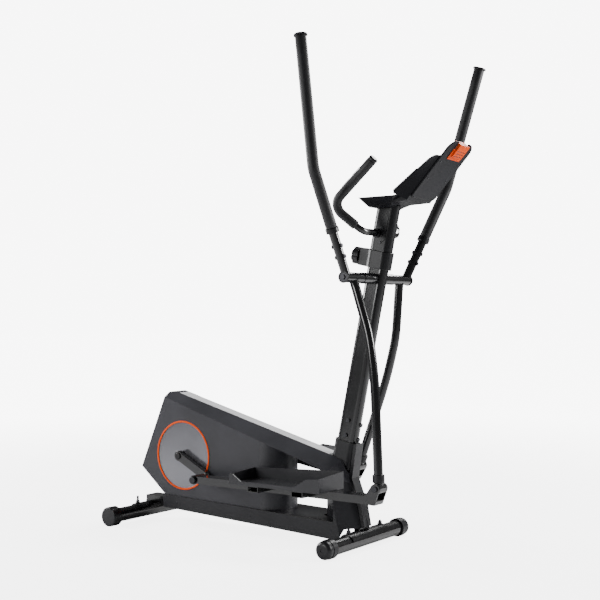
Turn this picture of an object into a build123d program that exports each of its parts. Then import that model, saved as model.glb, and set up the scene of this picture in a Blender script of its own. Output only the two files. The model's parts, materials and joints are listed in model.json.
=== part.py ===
from build123d import *
import os
from math import asin, atan2, cos, degrees, hypot, radians, sin, sqrt, tan

os.makedirs("parts", exist_ok=True)

# ---------------------------------------------------------------- driving dimensions (mm)
# X points forward, Y to the user's left, Z up from the floor.  While modelling, X is measured
# from the middle of the two stabilisers; save() then moves the origin under the outer box.

# stabilisers and base
STABILISER_X = 465.0          # half the distance between the two stabiliser tubes
STABILISER_LENGTH = 500.0
STABILISER_R = 25.0
FRONT_AXIS_Z = 30.0
FRONT_CAP_R = 31.0            # end sleeves of the front tube, flat where they stand
ROLLER_R = 29.5               # transport rollers outside those sleeves
REAR_CAP_R = 35.0
REAR_AXIS_Z = 34.0
SADDLE_HALF = 110.0
RAIL_Z = (64.0, 84.0)
RAIL_HALF = 30.0
WALL = 2.5                    # steel tube wall
SKIN = 3.0                    # plastic wall

# mast
MAST_TILT = 11.7              # degrees from vertical, leaning forward
MAST_FOOT_X = 329.0           # where the mast axis meets the floor
MAST_HALF = (37.0, 20.0)      # half length and half width of the oval tube
MAST_SPAN = (262.0, 990.0)    # along the mast axis
CLAMP_AT = 961.0              # middle of the clamp collar, along the mast axis
CLAMP_HEIGHT = 58.0
COLUMN_TOP = 1150.0           # top of the sliding column, along the mast axis
COLUMN_FOOT = 735.0

# console, which leans forward from its foot above the mast
CONSOLE_TILT = 47.6
CONSOLE_WEDGE = 0.2           # slope of the user face against the back
CONSOLE_FOOT = (668.0, 1122.0)
CONSOLE_WIDE, CONSOLE_NARROW = 100.0, 76.0
HOLDER_TOP, HOLDER_THICK = 236.0, 6.0
CLIP_TOP, CLIP_HALF, CLIP_BULGE = 231.0, 31.0, 14.0   # tablet clip: end, half width, reach behind

# linkage
PIVOT_Z = 879.0               # cross tube that carries both swing arms
CRANK_X, CRANK_Z = -252.0, 255.0
CRANK_R = 147.0
CRANK_ANGLE = -26.5           # right crank, degrees above the forward direction
SWING_R = 661.0               # pivot to foot pin
PEDAL_ARM_L = 735.0           # foot pin to crank pin
ARM_Y = 155.0                 # middle plane of each pedal arm
HUB_SPAN = (97.0, 200.0)      # swing hub, distances from the middle plane
HUB_R = 16.5
PIVOT_SHAFT_R = 11.0

# casing
CASE_HALF = 86.0
COVER_HALF = 92.0
RIDGE_HALF = 27.0             # half width of the flat top strip
RING_R = 124.0
NOSE_X = 90.0                 # centre of the rounded front of the housing
COLUMN_REAR = 330.0           # rear edge of the column that covers the mast's foot
FLYWHEEL_X, FLYWHEEL_Z, FLYWHEEL_R = 48.0, 203.0, 95.0
PULLEY_R, SHEAVE_R = 108.0, 32.0
BELT_Y = 52.0                 # plane of the belt, on the left of the frame


def mast_x(z):
    """X of the mast axis at height z."""
    return MAST_FOOT_X + z * tan(radians(MAST_TILT))


PIVOT_X = mast_x(PIVOT_Z) + 3  # the cross tube sits a little in front of the mast axis
MAST = Plane(
    origin=(MAST_FOOT_X, 0, 0),
    x_dir=(cos(radians(MAST_TILT)), 0, -sin(radians(MAST_TILT))),
    z_dir=(sin(radians(MAST_TILT)), 0, cos(radians(MAST_TILT))),
)

CONSOLE = Plane(
    origin=(CONSOLE_FOOT[0], 0, CONSOLE_FOOT[1]),
    x_dir=(cos(radians(CONSOLE_TILT)), 0, sin(radians(CONSOLE_TILT))),
    z_dir=(-sin(radians(CONSOLE_TILT)), 0, cos(radians(CONSOLE_TILT))),
)
CONSOLE_FACE = CONSOLE * Plane(origin=(74, 0, 25), x_dir=(1, 0, -CONSOLE_WEDGE), z_dir=(CONSOLE_WEDGE, 0, 1))
FRONT_END = CONSOLE.from_local_coords((CLIP_TOP, 0, -CLIP_BULGE)).X
REAR_END = -STABILISER_X - REAR_CAP_R
MIDDLE_X = (FRONT_END + REAR_END) / 2


def foot_position(crank_angle):
    """Crank pin and foot pin (x, z) of one side for a crank angle in degrees."""
    pin_x = CRANK_X + CRANK_R * cos(radians(crank_angle))
    pin_z = CRANK_Z + CRANK_R * sin(radians(crank_angle))
    gap_x, gap_z = PIVOT_X - pin_x, PIVOT_Z - pin_z
    gap = hypot(gap_x, gap_z)
    along = (PEDAL_ARM_L**2 - SWING_R**2 + gap**2) / (2 * gap)
    aside = sqrt(PEDAL_ARM_L**2 - along**2)
    foot_x = pin_x + (along * gap_x + aside * gap_z) / gap
    foot_z = pin_z + (along * gap_z - aside * gap_x) / gap
    return (pin_x, pin_z), (foot_x, foot_z)


RIGHT_PIN, RIGHT_FOOT = foot_position(CRANK_ANGLE)
LEFT_PIN, LEFT_FOOT = foot_position(CRANK_ANGLE + 180)


def swing_angle(foot):
    """Degrees that a swing arm stands forward of hanging straight down."""
    return degrees(atan2(foot[0] - PIVOT_X, PIVOT_Z - foot[1]))


def pedal_angle(pin, foot):
    """Degrees that the line from crank pin to foot pin rises towards the front."""
    return degrees(atan2(foot[1] - pin[1], foot[0] - pin[0]))


# ---------------------------------------------------------------- helpers
def save(node, *solids):
    """Write one node, with the origin moved under the middle of the outer box."""
    moved = [Pos(-MIDDLE_X, 0, 0) * solid for solid in solids]
    shape = moved[0] if len(moved) == 1 else Compound(children=moved)
    shape.label = node
    export_step(shape, f"parts/{node}.step")


def largest(shape):
    """The biggest solid of a shape, without the crumbs that a cut leaves."""
    return shape.solids().sort_by(SortBy.VOLUME)[-1]


def mirrored(shape):
    """The same shape on the other side of the machine."""
    return mirror(shape, about=Plane.XZ)


def save_pair(name, shape):
    """Write a right-hand node and its mirror image."""
    save(f"{name}_right", *shape.solids())
    save(f"{name}_left", *mirrored(shape).solids())


def side_prism(points, y_low, y_high):
    """Prism with an outline of (x, z) points between two planes of constant Y."""
    outline = Polyline(*[(x, 0, z) for x, z in points], close=True)
    face = Pos(0, y_high, 0) * make_face(outline)
    return extrude(face, amount=y_high - y_low, dir=(0, -1, 0))


def block(x_span, y_span, z_span):
    """Box between two corners."""
    size = [high - low for low, high in (x_span, y_span, z_span)]
    centre = [(high + low) / 2 for low, high in (x_span, y_span, z_span)]
    return Pos(*centre) * Box(*size)


def y_rod(x, z, radius, y_low, y_high):
    """Cylinder along Y."""
    middle = (y_low + y_high) / 2
    return Pos(x, middle, z) * Rot(90, 0, 0) * Cylinder(radius, y_high - y_low)


def y_ring(x, z, outer, inner, y_low, y_high):
    """Ring or tube along Y."""
    bore = y_rod(x, z, inner, y_low - 1, y_high + 1)
    return y_rod(x, z, outer, y_low, y_high) - bore


def rod_between(start, end, radius):
    """Straight cylinder from start to end."""
    run = Vector(*end) - Vector(*start)
    plane = Plane(origin=start, z_dir=run)
    return extrude(plane * Circle(radius), amount=run.length)


def bent_rod(points, radius, bend):
    """Round bar along a polyline whose corners are arcs of the bend radius."""
    path = FilletPolyline(*points, radius=bend)
    start = Plane(origin=path @ 0, z_dir=path % 0)
    return sweep(start * Circle(radius), path=path)


def oval(grow=0.0):
    """Oval section of the mast, grown all round."""
    half_x, half_y = MAST_HALF
    return SlotOverall(2 * (half_x + grow), 2 * (half_y + grow))


def on_mast(sketch, low, high):
    """Prism of a sketch between two distances along the mast axis."""
    return extrude(MAST * Pos(0, 0, low) * sketch, amount=high - low)


def mast_point(across, aside, along):
    """Point in the mast's own frame as (x, y, z)."""
    point = MAST.from_local_coords((across, aside, along))
    return (point.X, point.Y, point.Z)


# ---------------------------------------------------------------- base
def stabiliser_tube(x, axis_z, reach):
    """Round cross tube, drilled for the two saddle bolts."""
    tube = y_ring(x, axis_z, STABILISER_R, STABILISER_R - WALL, -reach, reach)
    return tube - bolt_holes(x, axis_z)


def saddle(x, axis_z):
    """Curved plate that lies on a stabiliser tube, with a flat pad under the rail."""
    shell = y_ring(x, axis_z, STABILISER_R + 4.5, STABILISER_R, -SADDLE_HALF, SADDLE_HALF)
    upper = block((x - 40, x + 40), (-200, 200), (axis_z + 6, axis_z + 60))
    pad = block((x - 22, x), (-RAIL_HALF, RAIL_HALF), (axis_z + 14, RAIL_Z[0]))
    pad -= y_rod(x, axis_z, STABILISER_R, -200, 200)
    return (shell & upper) + pad - bolt_holes(x, axis_z)


BOLT_Y = 97.0


def bolt_holes(x, axis_z):
    """Room for the two saddle bolts."""
    holes = [Pos(x, side * BOLT_Y, axis_z + 20) * Cylinder(4.2, 80) for side in (-1, 1)]
    return holes[0] + holes[1]


def saddle_bolts(x, axis_z, stand):
    """Two bolts with washer and domed nut, standing above the saddle."""
    bolts = []
    top = axis_z + STABILISER_R + 4.5
    for side in (-1, 1):
        shank = Pos(x, side * BOLT_Y, top + (stand - 46) / 2) * Cylinder(4, stand + 46)
        washer = Pos(x, side * BOLT_Y, top + 1.2) * Cylinder(9, 2)
        nut = Pos(x, side * BOLT_Y, top + 2.2) * extrude(RegularPolygon(7.5, 6), amount=7)
        bolts.append(shank + washer + nut)
    return bolts


def front_sleeve():
    """Sleeve at the right end of the front tube, with a flat foot and the roller's axle."""
    end = STABILISER_LENGTH / 2
    sleeve = y_rod(STABILISER_X, FRONT_AXIS_Z, FRONT_CAP_R, 26 - end, 48 - end)
    sleeve -= y_rod(STABILISER_X, FRONT_AXIS_Z, STABILISER_R, 30 - end, 60 - end)
    sleeve += y_rod(STABILISER_X, FRONT_AXIS_Z, 5, 4 - end, 30 - end)
    return sleeve - block((300, 600), (-300, 0), (-20, 0))


def transport_roller():
    """Domed roller that turns on the axle at the right end of the front tube."""
    end = STABILISER_LENGTH / 2
    blank = y_rod(STABILISER_X, FRONT_AXIS_Z, ROLLER_R, -end, 24 - end)
    rim = blank.edges().filter_by(GeomType.CIRCLE).sort_by(Axis.Y)[0]
    dimple = y_rod(STABILISER_X, FRONT_AXIS_Z, 6, -end - 1, 1.5 - end)
    return fillet(rim, 14) - dimple - y_rod(STABILISER_X, FRONT_AXIS_Z, 5.05, 3 - end, 30 - end)


def rear_cap():
    """Foot cap at the right end of the rear tube, flat where it stands on the floor."""
    end = STABILISER_LENGTH / 2
    cap = y_rod(-STABILISER_X, REAR_AXIS_Z, REAR_CAP_R, -end, 38 - end)
    rim = cap.edges().filter_by(GeomType.CIRCLE).sort_by(Axis.Y)[0]
    cap = fillet(rim, 5) - y_rod(-STABILISER_X, REAR_AXIS_Z, STABILISER_R, 4 - end, 60 - end)
    return cap - block((-600, -300), (-300, 0), (-20, 0))


def main_rail():
    """Rectangular steel rail that joins the two stabilisers."""
    low, high = RAIL_Z
    rail = block((-STABILISER_X - 20, STABILISER_X - 10), (-RAIL_HALF, RAIL_HALF), RAIL_Z)
    hollow = block((-600, 600), (WALL - RAIL_HALF, RAIL_HALF - WALL), (low + WALL, high - WALL))
    return rail - hollow


def crank_tower():
    """Two plates on the rail with the bearing tube between them."""
    tower = y_ring(CRANK_X, CRANK_Z, 27, 21.05, -40, 40)
    for side in (-1, 1):
        y_span = sorted((side * 22, side * 27))
        outline = [(CRANK_X - 60, RAIL_Z[1]), (CRANK_X + 60, RAIL_Z[1])]
        outline += [(CRANK_X + 24, CRANK_Z), (CRANK_X - 24, CRANK_Z)]
        plate = side_prism(outline, *y_span) - y_rod(CRANK_X, CRANK_Z, 24, -50, 50)
        tower += plate
    return tower


def flywheel_bracket():
    """Two plates on the rail that carry the flywheel's bearings."""
    plates = []
    for side in (-1, 1):
        y_span = sorted((side * 24, side * 29))
        outline = [(FLYWHEEL_X - 45, RAIL_Z[1]), (FLYWHEEL_X + 45, RAIL_Z[1])]
        outline += [(FLYWHEEL_X + 22, FLYWHEEL_Z + 26), (FLYWHEEL_X - 22, FLYWHEEL_Z + 26)]
        plates.append(side_prism(outline, *y_span) - y_rod(FLYWHEEL_X, FLYWHEEL_Z, 16.05, -60, 60))
    return plates[0] + plates[1]


def mast_stub():
    """Oval post welded on the rail, inside the foot of the mast."""
    post = on_mast(oval(-WALL - 0.4), 60, 470) - on_mast(oval(-WALL - 3.4), 40, 500)
    open_back = block((0, COLUMN_REAR + 6), (-60, 60), (-50, 240))
    return post - open_back - block((0, 600), (-60, 60), (-50, RAIL_Z[1]))


def main_frame():
    """The welded frame: rail, crank tower, flywheel bracket and mast post."""
    return main_rail() + crank_tower() + flywheel_bracket() + mast_stub()


# ---------------------------------------------------------------- mast
def mast():
    """Oval lower mast tube, open at the top, with both halves of the cross tube."""
    low, high = MAST_SPAN
    tube = on_mast(oval(), low, high) + pivot_stub() + mirrored(pivot_stub())
    return tube - on_mast(oval(-WALL), low - 5, high + 5)


def mast_bolts():
    """Domed bolts that fix the mast on its stub: two each side and two in front."""
    bolts = []
    for along in (372.0, 422.0):
        for side in (-1, 1):
            seat = mast_point(0, side * MAST_HALF[1], along)
            tip = mast_point(0, side * (MAST_HALF[1] + 5), along)
            bolts.append(rod_between(seat, tip, 7))
        seat = mast_point(MAST_HALF[0], 0, along - 8)
        tip = mast_point(MAST_HALF[0] + 5, 0, along - 8)
        bolts.append(rod_between(seat, tip, 7))
    return bolts


def pivot_stub():
    """Right half of the cross tube: thick inboard part, then the shaft for the hub."""
    thick = y_rod(PIVOT_X, PIVOT_Z, 18, -HUB_SPAN[0] + 1, -MAST_HALF[1] + 1)
    shaft = y_rod(PIVOT_X, PIVOT_Z, PIVOT_SHAFT_R, -HUB_SPAN[1] - 1, -MAST_HALF[1])
    return thick + shaft


def hub_washer():
    """Washer and bolt that hold the hub on the right shaft."""
    outer = -HUB_SPAN[1] - 1
    washer = y_rod(PIVOT_X, PIVOT_Z, 14, outer - 2, outer)
    head = Pos(PIVOT_X, outer - 2, PIVOT_Z) * Rot(90, 0, 0) * extrude(RegularPolygon(8, 6), amount=5)
    return washer + head


def clamp_collar():
    """Clamp round the top of the mast, with a boss behind it for the knob."""
    low, high = CLAMP_AT - CLAMP_HEIGHT / 2, CLAMP_AT + CLAMP_HEIGHT / 2
    ring = on_mast(oval(8), low, high)
    boss = on_mast(Pos(-45, 0) * Rectangle(44, 40), low, high)
    blank = ring + boss
    levels = blank.edges().group_by(Axis((0, 0, 0), MAST.z_dir))
    blank = fillet(levels[0] + levels[-1], 2)
    return blank - on_mast(oval(), low - 5, high + 5) - knob_bore()


KNOB_REST = -67.0             # rear face of the boss, across the mast


def knob_bore():
    start = mast_point(KNOB_REST - 5, 0, CLAMP_AT)
    end = mast_point(-MAST_HALF[0], 0, CLAMP_AT)
    return rod_between(start, end, 5.05)


def clamp_knob():
    """Ribbed knob with its threaded stem, turned about an axis across the mast."""
    front = KNOB_REST - 4
    stem = rod_between(mast_point(front, 0, CLAMP_AT), mast_point(-38, 0, CLAMP_AT), 5)
    knob = rod_between(mast_point(front - 24, 0, CLAMP_AT), mast_point(front, 0, CLAMP_AT), 29)
    flutes = 8
    for index in range(flutes):
        turn = radians(360 / flutes * index)
        start = mast_point(front - 30, 33 * sin(turn), CLAMP_AT + 33 * cos(turn))
        end = mast_point(front + 5, 33 * sin(turn), CLAMP_AT + 33 * cos(turn))
        knob -= rod_between(start, end, 7)
    return knob + stem


# ---------------------------------------------------------------- sliding column
COVER_LOW = CLAMP_AT + CLAMP_HEIGHT / 2 + 1


def column_tube():
    """Inner oval tube that slides in the mast."""
    outer = on_mast(oval(-WALL - 0.4), COLUMN_FOOT, COLUMN_TOP)
    return outer - on_mast(oval(-WALL - 2.9), COLUMN_FOOT - 5, COLUMN_TOP - 4)


def column_cover():
    """Plastic sleeve round the column between the clamp and the console, with a raised strip each side."""
    sleeve = on_mast(oval(2.5), COVER_LOW, COLUMN_TOP - 8)
    half = MAST_HALF[1] + 4.5
    middle = (COVER_LOW + COLUMN_TOP - 8) / 2
    strip = MAST * Pos(4, 0, middle) * Rot(90, 0, 0) * extrude(SlotOverall(92, 30, 90), half, both=True)
    return sleeve + strip - on_mast(oval(-WALL - 0.4), COVER_LOW - 5, COLUMN_TOP) - handlebar_blank()


def cover_screws():
    """Two screws on each strip."""
    screws = []
    for along in (1018.0, 1066.0):
        for side in (-1, 1):
            seat = mast_point(4, side * (MAST_HALF[1] + 4.5), along)
            tip = mast_point(4, side * (MAST_HALF[1] + 6.0), along)
            screws.append(rod_between(seat, tip, 4))
    return screws


HANDLEBAR_R = 11.0
HANDLEBAR_AT = (mast_x(1027.0) - 15, 1027.0)


def handlebar_points():
    """Right half of the fixed handlebar's centre line."""
    x, z = HANDLEBAR_AT
    return [(x, -16, z), (x, -110, z), (x - 72, -178, z + 81), (x + 79, -178, z + 213)]


def handlebar_blank():
    """Solid bent bar that passes through the column."""
    half = bent_rod(handlebar_points(), HANDLEBAR_R, 42)
    middle = y_rod(HANDLEBAR_AT[0], HANDLEBAR_AT[1], HANDLEBAR_R, -17, 17)
    return half + mirrored(half) + middle


def handlebar_grip():
    """Foam sleeve on the right half of the handlebar."""
    corner, knee, tip = handlebar_points()[1:]
    start = Vector(*corner) + (Vector(*knee) - Vector(*corner)) * 0.22
    end = Vector(*tip) + (Vector(*knee) - Vector(*tip)).normalized() * 2
    points = [tuple(start), knee, tuple(end)]
    return bent_rod(points, 15, 42) - bent_rod(points, HANDLEBAR_R, 42)


def handlebar_cap():
    """Rounded plug over the right tip."""
    knee, tip = [Vector(*point) for point in handlebar_points()[2:]]
    out = (tip - knee).normalized()
    cap = rod_between(tuple(tip), tuple(tip + out * 9), 15)
    rim = cap.edges().filter_by(GeomType.CIRCLE).sort_by(Axis.Z)[-1]
    return fillet(rim, 6)


def pulse_plates():
    """Two metal sensor plates on the upper side of the right grip."""
    knee, tip = [Vector(*point) for point in handlebar_points()[2:]]
    run = tip - knee
    out = run.normalized()
    plates = []
    for share in (0.34, 0.60):
        start = knee + run * share
        end = start + out * 36
        sleeve = rod_between(tuple(start), tuple(end), 16.2) - rod_between(tuple(start), tuple(end), 15.0)
        upper = Plane(origin=tuple(start), x_dir=(0, 1, 0), z_dir=out)
        keep = extrude(upper * Pos(0, 16) * Rectangle(26, 30), amount=40)
        plates.append(sleeve & keep)
    return plates


def handlebar_collar():
    """Dark ring where the handlebar leaves the sleeve on the right."""
    x, z = HANDLEBAR_AT
    return y_ring(x, z, 15, HANDLEBAR_R, -MAST_HALF[1] - 12, -MAST_HALF[1] - 5)


# ---------------------------------------------------------------- console
def on_plane(plane, along_span, half_width, out_span, corner=0.0, lower_corner=0.0):
    """Plate on a plane of the console; the corner radii are for its upper and lower ends."""
    length = along_span[1] - along_span[0]
    sketch = Rectangle(length, 2 * half_width)
    if corner:
        sketch = fillet(sketch.vertices().group_by(Axis.X)[-1], corner)
    if lower_corner:
        sketch = fillet(sketch.vertices().group_by(Axis.X)[0], lower_corner)
    middle = (along_span[0] + along_span[1]) / 2
    return extrude(plane * Pos(middle, 0, out_span[0]) * sketch, amount=out_span[1] - out_span[0])


def on_console(along_span, half_width, out_span, corner=0.0, lower_corner=0.0):
    """Plate parallel to the console's back."""
    return on_plane(CONSOLE, along_span, half_width, out_span, corner, lower_corner)


def ledge():
    """Ledge over the mast, wide on top and narrow below, with the neck to the console's foot."""
    foot_x, foot_z = CONSOLE_FOOT
    underside = [(524, -80), (585, -40), (585, 40), (524, 80)]
    below = make_face(Polyline(*[(x, y, 1107) for x, y in underside], close=True))
    above = Plane.XY * Pos(568, 0, 1137) * Rectangle(138, 2 * CONSOLE_WIDE - 4)
    neck = [(540, 1106), (560, 1106), (592, 1119), (foot_x, foot_z), (foot_x - 20, foot_z + 22), (560, 1137)]
    tray = loft([below, above], ruled=True)
    corners = [edge for edge in tray.edges() if abs((edge @ 0).Z - (edge @ 1).Z) > 20]
    return fillet(corners, 12) + side_prism(neck, 8 - CONSOLE_NARROW, CONSOLE_NARROW - 8)


def console_base():
    """Lower shell: the ledge and the wedge-shaped body that leans forward."""
    back = CONSOLE * Pos(88, 0, 0) * Rectangle(176, 2 * CONSOLE_NARROW)
    front = CONSOLE_FACE * Pos(2, 0, 0) * Rectangle(172, 2 * CONSOLE_WIDE)
    body = loft([back, front], ruled=True) - on_console((12, 150), CONSOLE_NARROW - 8, (3, 8))
    shell = ledge() + body
    shell -= on_mast(oval(-WALL - 0.4), 1000, COLUMN_TOP) + on_mast(oval(2.5), 1000, COLUMN_TOP - 8)
    return shell - console_face() - display_panel()


def console_face():
    """User-side panel that closes the body, rounded at its upper end."""
    return on_plane(CONSOLE_FACE, (-82, 98), CONSOLE_WIDE, (0, 5), 30)


def display_panel():
    """Raised display housing on the panel."""
    housing = on_plane(CONSOLE_FACE, (-86, 22), 86, (5, 14), 8, 4)
    return housing - on_plane(CONSOLE_FACE, (-66, 12), 70, (11, 30), 3, 3)


def display_window():
    """Clear window set into the display housing."""
    return on_plane(CONSOLE_FACE, (-65.9, 11.9), 69.9, (11, 14), 3, 3)


def holder_plate():
    """Thin back plate that stands above the console and carries the clip."""
    plate = on_console((14, HOLDER_TOP), CONSOLE_NARROW, (-HOLDER_THICK, 0), 34, 14)
    return plate - on_console((180, 280), CLIP_HALF + 1.5, (-20, 20))


def tablet_clip():
    """Sprung clip in the notch of the back plate."""
    tongue = on_console((184, CLIP_TOP), CLIP_HALF, (-CLIP_BULGE, -5), 6)
    hook = on_console((CLIP_TOP - 8, CLIP_TOP), CLIP_HALF, (-CLIP_BULGE, 10))
    runner = on_console((172, 210), CLIP_HALF + 9, (-8.5, -6.1))
    return tongue + hook + runner


def console_screws():
    """Screws in the back of the console."""
    screws = []
    for along in (18.0, 92.0, 156.0):
        for side in (-1, 1):
            seat = CONSOLE * Pos(along, side * 58, -7.2)
            screws.append(extrude(seat * Circle(3.2), amount=1.2))
    return screws


# ---------------------------------------------------------------- casing
TOP_START = (-361.0, 484.5)
TOP_END = (346.0, 297.0)
CREASE_START = (-301.0, 449.0)
CREASE_END = (343.0, 255.0)
SEAM_START = (-345.0, 108.0)
REAR_LINE = [TOP_START, (-482.0, 201.0), (-368.0, 108.7)]   # middle of the bowed rear face
REAR_BOW = 28.0               # how much further forward the sides of the rear face stand
SEAM_END = (402.0, 88.0)
FRONT_LINE = [(448.0, 338.0), (430.0, 224.0), (447.0, 179.0), (465.0, 134.0), (478.0, 68.0)]
BOW_SLOPE = 60.0 / 90.0       # how far the front sweeps back per unit of width


def on_line(start, end, x):
    """Height at x of the straight line through two (x, z) points."""
    return start[1] + (end[1] - start[1]) * (x - start[0]) / (end[0] - start[0])


def ridge_wedge(inset):
    """What the sloping shoulder takes off the right side of a full-width block."""
    sections = []
    for x in (-430.0, 480.0):
        top = on_line(TOP_START, TOP_END, x) - inset
        low = on_line(CREASE_START, CREASE_END, x) - inset
        inner, outer = RIDGE_HALF - inset * 0.4, CASE_HALF - inset
        reach = 1.6
        far_y = inner + (outer - inner) * reach
        far_z = top + (low - top) * reach
        corners = [(-inner, top), (-far_y, far_z), (-far_y, top + 90), (-inner, top + 90)]
        wire = Polyline(*[(x, y, z) for y, z in corners], close=True)
        sections.append(make_face(wire))
    return loft(sections, ruled=True)


def rear_bow(inset):
    """What the bowed rear takes off the right side."""
    sections = []
    beyond = 10.0
    reach = (CASE_HALF + beyond - RIDGE_HALF) / (CASE_HALF - RIDGE_HALF)
    for y, forward in ((-RIDGE_HALF, 0.0), (-CASE_HALF - beyond, REAR_BOW * reach)):
        edge = [(x + forward + inset, z) for x, z in REAR_LINE]
        top_x, top_z = edge[0]
        outline = [(-700, top_z + 150), (top_x + 70, top_z + 150), *edge, (edge[2][0], 0), (-700, 0)]
        sections.append(make_face(Polyline(*[(x, y, z) for x, z in outline], close=True)))
    return loft(sections, ruled=True)


def bow_cut(inset):
    """What the swept front takes off the right side."""
    low_x, low_z = FRONT_LINE[-1][0] - inset + 4, FRONT_LINE[-1][1]
    high_x, high_z = FRONT_LINE[1][0] - inset + 4, FRONT_LINE[1][1]
    lean = (high_x - low_x) / (high_z - low_z)
    sections = []
    for z in (20.0, 380.0):
        tip = low_x + lean * (z - low_z)
        corners = [(tip, 0), (tip - BOW_SLOPE * 140, -140), (tip + 300, -140), (tip + 300, 0)]
        sections.append(make_face(Polyline(*[(x, y, z) for x, y in corners], close=True)))
    return loft(sections, ruled=True)


def housing_block(inset):
    """Right half of the upper casing as a full block, drawn in by the inset."""
    nose_r = CASE_HALF - inset
    crease_at = CREASE_END[0]
    outline = [TOP_START, TOP_END, (396, 281), (440, 216), (452, 190), CREASE_END]
    nose_tip = NOSE_X + CASE_HALF
    outline += [(nose_tip, on_line(CREASE_START, CREASE_END, nose_tip))]
    outline += [(nose_tip, on_line(SEAM_START, SEAM_END, nose_tip)), REAR_LINE[2], REAR_LINE[1]]
    face = make_face(Polyline(*[(x, 0, z) for x, z in outline], close=True))
    face = fillet(face.vertices().sort_by(Axis.X)[0:1], 26)
    face = fillet(face.vertices().sort_by(Axis.Z)[-1:], 28)
    if inset:
        face = offset(face, -inset, kind=Kind.INTERSECTION)
    slab = extrude(face, amount=nose_r, dir=(0, -1, 0))
    start = crease_at - 40
    start_z = on_line(CREASE_START, CREASE_END, start) - 0.5
    nose_z = on_line(CREASE_START, CREASE_END, NOSE_X) - 0.5
    below = side_prism([(NOSE_X, 0), (start, 0), (start, start_z), (NOSE_X, nose_z)], -120, 0)
    corner = below - Pos(NOSE_X, 0, 250) * Cylinder(nose_r, 600)
    return slab - ridge_wedge(inset) - corner - bow_cut(inset) - rear_bow(inset)


def drive_opening():
    """Open bottom of the casing and top of the lower cover, where the drive passes."""
    half = 66.0
    straight = block((-330, NOSE_X), (-half, half), (60, 126))
    return straight + Pos(NOSE_X, 0, 93) * Cylinder(half, 66)


def casing():
    """Right shell of the upper casing with the round recess for the crank cover."""
    shell = housing_block(0.0) - housing_block(SKIN) - drive_opening()
    shell -= top_recess()
    shell -= y_rod(CRANK_X, CRANK_Z, RING_R + 0.2, -CASE_HALF - 1, -CASE_HALF + 6)
    shell -= on_mast(oval(7.2), 20, 420) + front_trim()
    return largest(shell)


def top_recess():
    """Shallow channel for the pale strip along the ridge."""
    return side_prism(
        [(-322, on_line(TOP_START, TOP_END, -322) - 3), (341, on_line(TOP_START, TOP_END, 341) - 3),
         (341, on_line(TOP_START, TOP_END, 341) + 40), (-322, on_line(TOP_START, TOP_END, -322) + 40)],
        -RIDGE_HALF + 1, RIDGE_HALF - 1,
    )


def top_strip():
    """Pale cover strip along the ridge of the casing."""
    return side_prism(
        [(-321.5, on_line(TOP_START, TOP_END, -321.5) - 3), (340.5, on_line(TOP_START, TOP_END, 340.5) - 3),
         (340.5, on_line(TOP_START, TOP_END, 340.5) + 1), (-321.5, on_line(TOP_START, TOP_END, -321.5) + 1)],
        -RIDGE_HALF + 1.2, RIDGE_HALF - 1.2,
    )


def crank_cover():
    """Round cover disc in the right side of the casing."""
    disc = y_rod(CRANK_X, CRANK_Z, RING_R - 6.2, -CASE_HALF + 1, -CASE_HALF + 6)
    return disc - y_rod(CRANK_X, CRANK_Z, 14, -120, 0)


def accent_ring():
    """Coloured ring round the cover disc."""
    return y_ring(CRANK_X, CRANK_Z, RING_R, RING_R - 6, -CASE_HALF - 2, -CASE_HALF + 5.5)


def cover_block(inset):
    """Right half of the lower cover as a full block: long base and front column."""
    half = COVER_HALF - inset
    base = [SEAM_START, SEAM_END, (500, 84), (500, 65), (432, 65), (424, 32), (374, 32), (-340, 62)]
    if inset:
        base = [(SEAM_START[0] + inset, SEAM_START[1] - inset), (500, 84 - inset), (500, 0), (-337, 0)]
    block_ = side_prism(base, -half, 0)
    column = [(COLUMN_REAR, 80), (500, 80), (500, 160), (452, 190), CREASE_END, (COLUMN_REAR, 259)]
    if inset:
        rear = COLUMN_REAR + inset
        column = [(rear, 40), (500, 40), (500, 157), (452, 187), (343, 252), (rear, 256)]
    tall = side_prism(column, -half, 0)
    tall -= column_rear_cut(inset)
    return block_ + tall - bow_cut(inset)


def column_rear_cut(inset):
    """Slanted rear faces of the front column."""
    shift = inset * 1.3
    rear = COLUMN_REAR + shift
    corners = [(rear, -20), (402 + shift, -COVER_HALF), (402 + shift, -140), (200, -140), (200, -20)]
    wire = Polyline(*[(x, y, 0) for x, y in corners], close=True)
    return extrude(make_face(wire), amount=400)


def lower_cover():
    """Right lower cover: a skirt over the rail that rises into the front column."""
    shell = cover_block(0.0) - cover_block(SKIN)
    rail_gap = block((-360, -320), (-RAIL_HALF - 2, 0), (0, RAIL_Z[1] + 2))
    shell -= rail_gap + drive_opening() + on_mast(oval(1.0), 20, 420)
    return largest(shell - front_trim() - casing_clearance())


def casing_clearance():
    """Keeps the column's top clear of the upper casing."""
    gap = 0.2
    end = (500, 190 - 48 * (255 - 190) / (452 - 343) - gap)
    crease = [(452, 190 - gap), (343, 255 - gap), (260, on_line(CREASE_START, CREASE_END, 260) - gap)]
    return side_prism([(260, 340), (500, 340), end, *crease], -140, 0)


def front_trim():
    """Strip down the middle of the front, from the mast collar to the base."""
    inner = [(x - 12, z - 3) for x, z in reversed(FRONT_LINE)]
    return side_prism(FRONT_LINE + inner, -22, 22) - on_mast(oval(0.2), 150, 420)


def mast_collar():
    """Socket collar round the foot of the mast, with the strip down the front of the machine."""
    ring = on_mast(oval(6.8), 215, 352) - on_mast(oval(0.2), 150, 420)
    below = side_prism([(200, 0), (200, 340), (346, 297.5), (396, 281.5), (440, 216.5), (470, 0)], -90, 90)
    return ring - below + front_trim()


def cover_side_screws():
    """Screws along the foot of the right lower cover."""
    screws = []
    for x, z in ((-277, 82), (58, 70), (392, 57)):
        screws.append(y_rod(x, z, 4, -COVER_HALF - 1, -COVER_HALF))
    return screws


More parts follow.
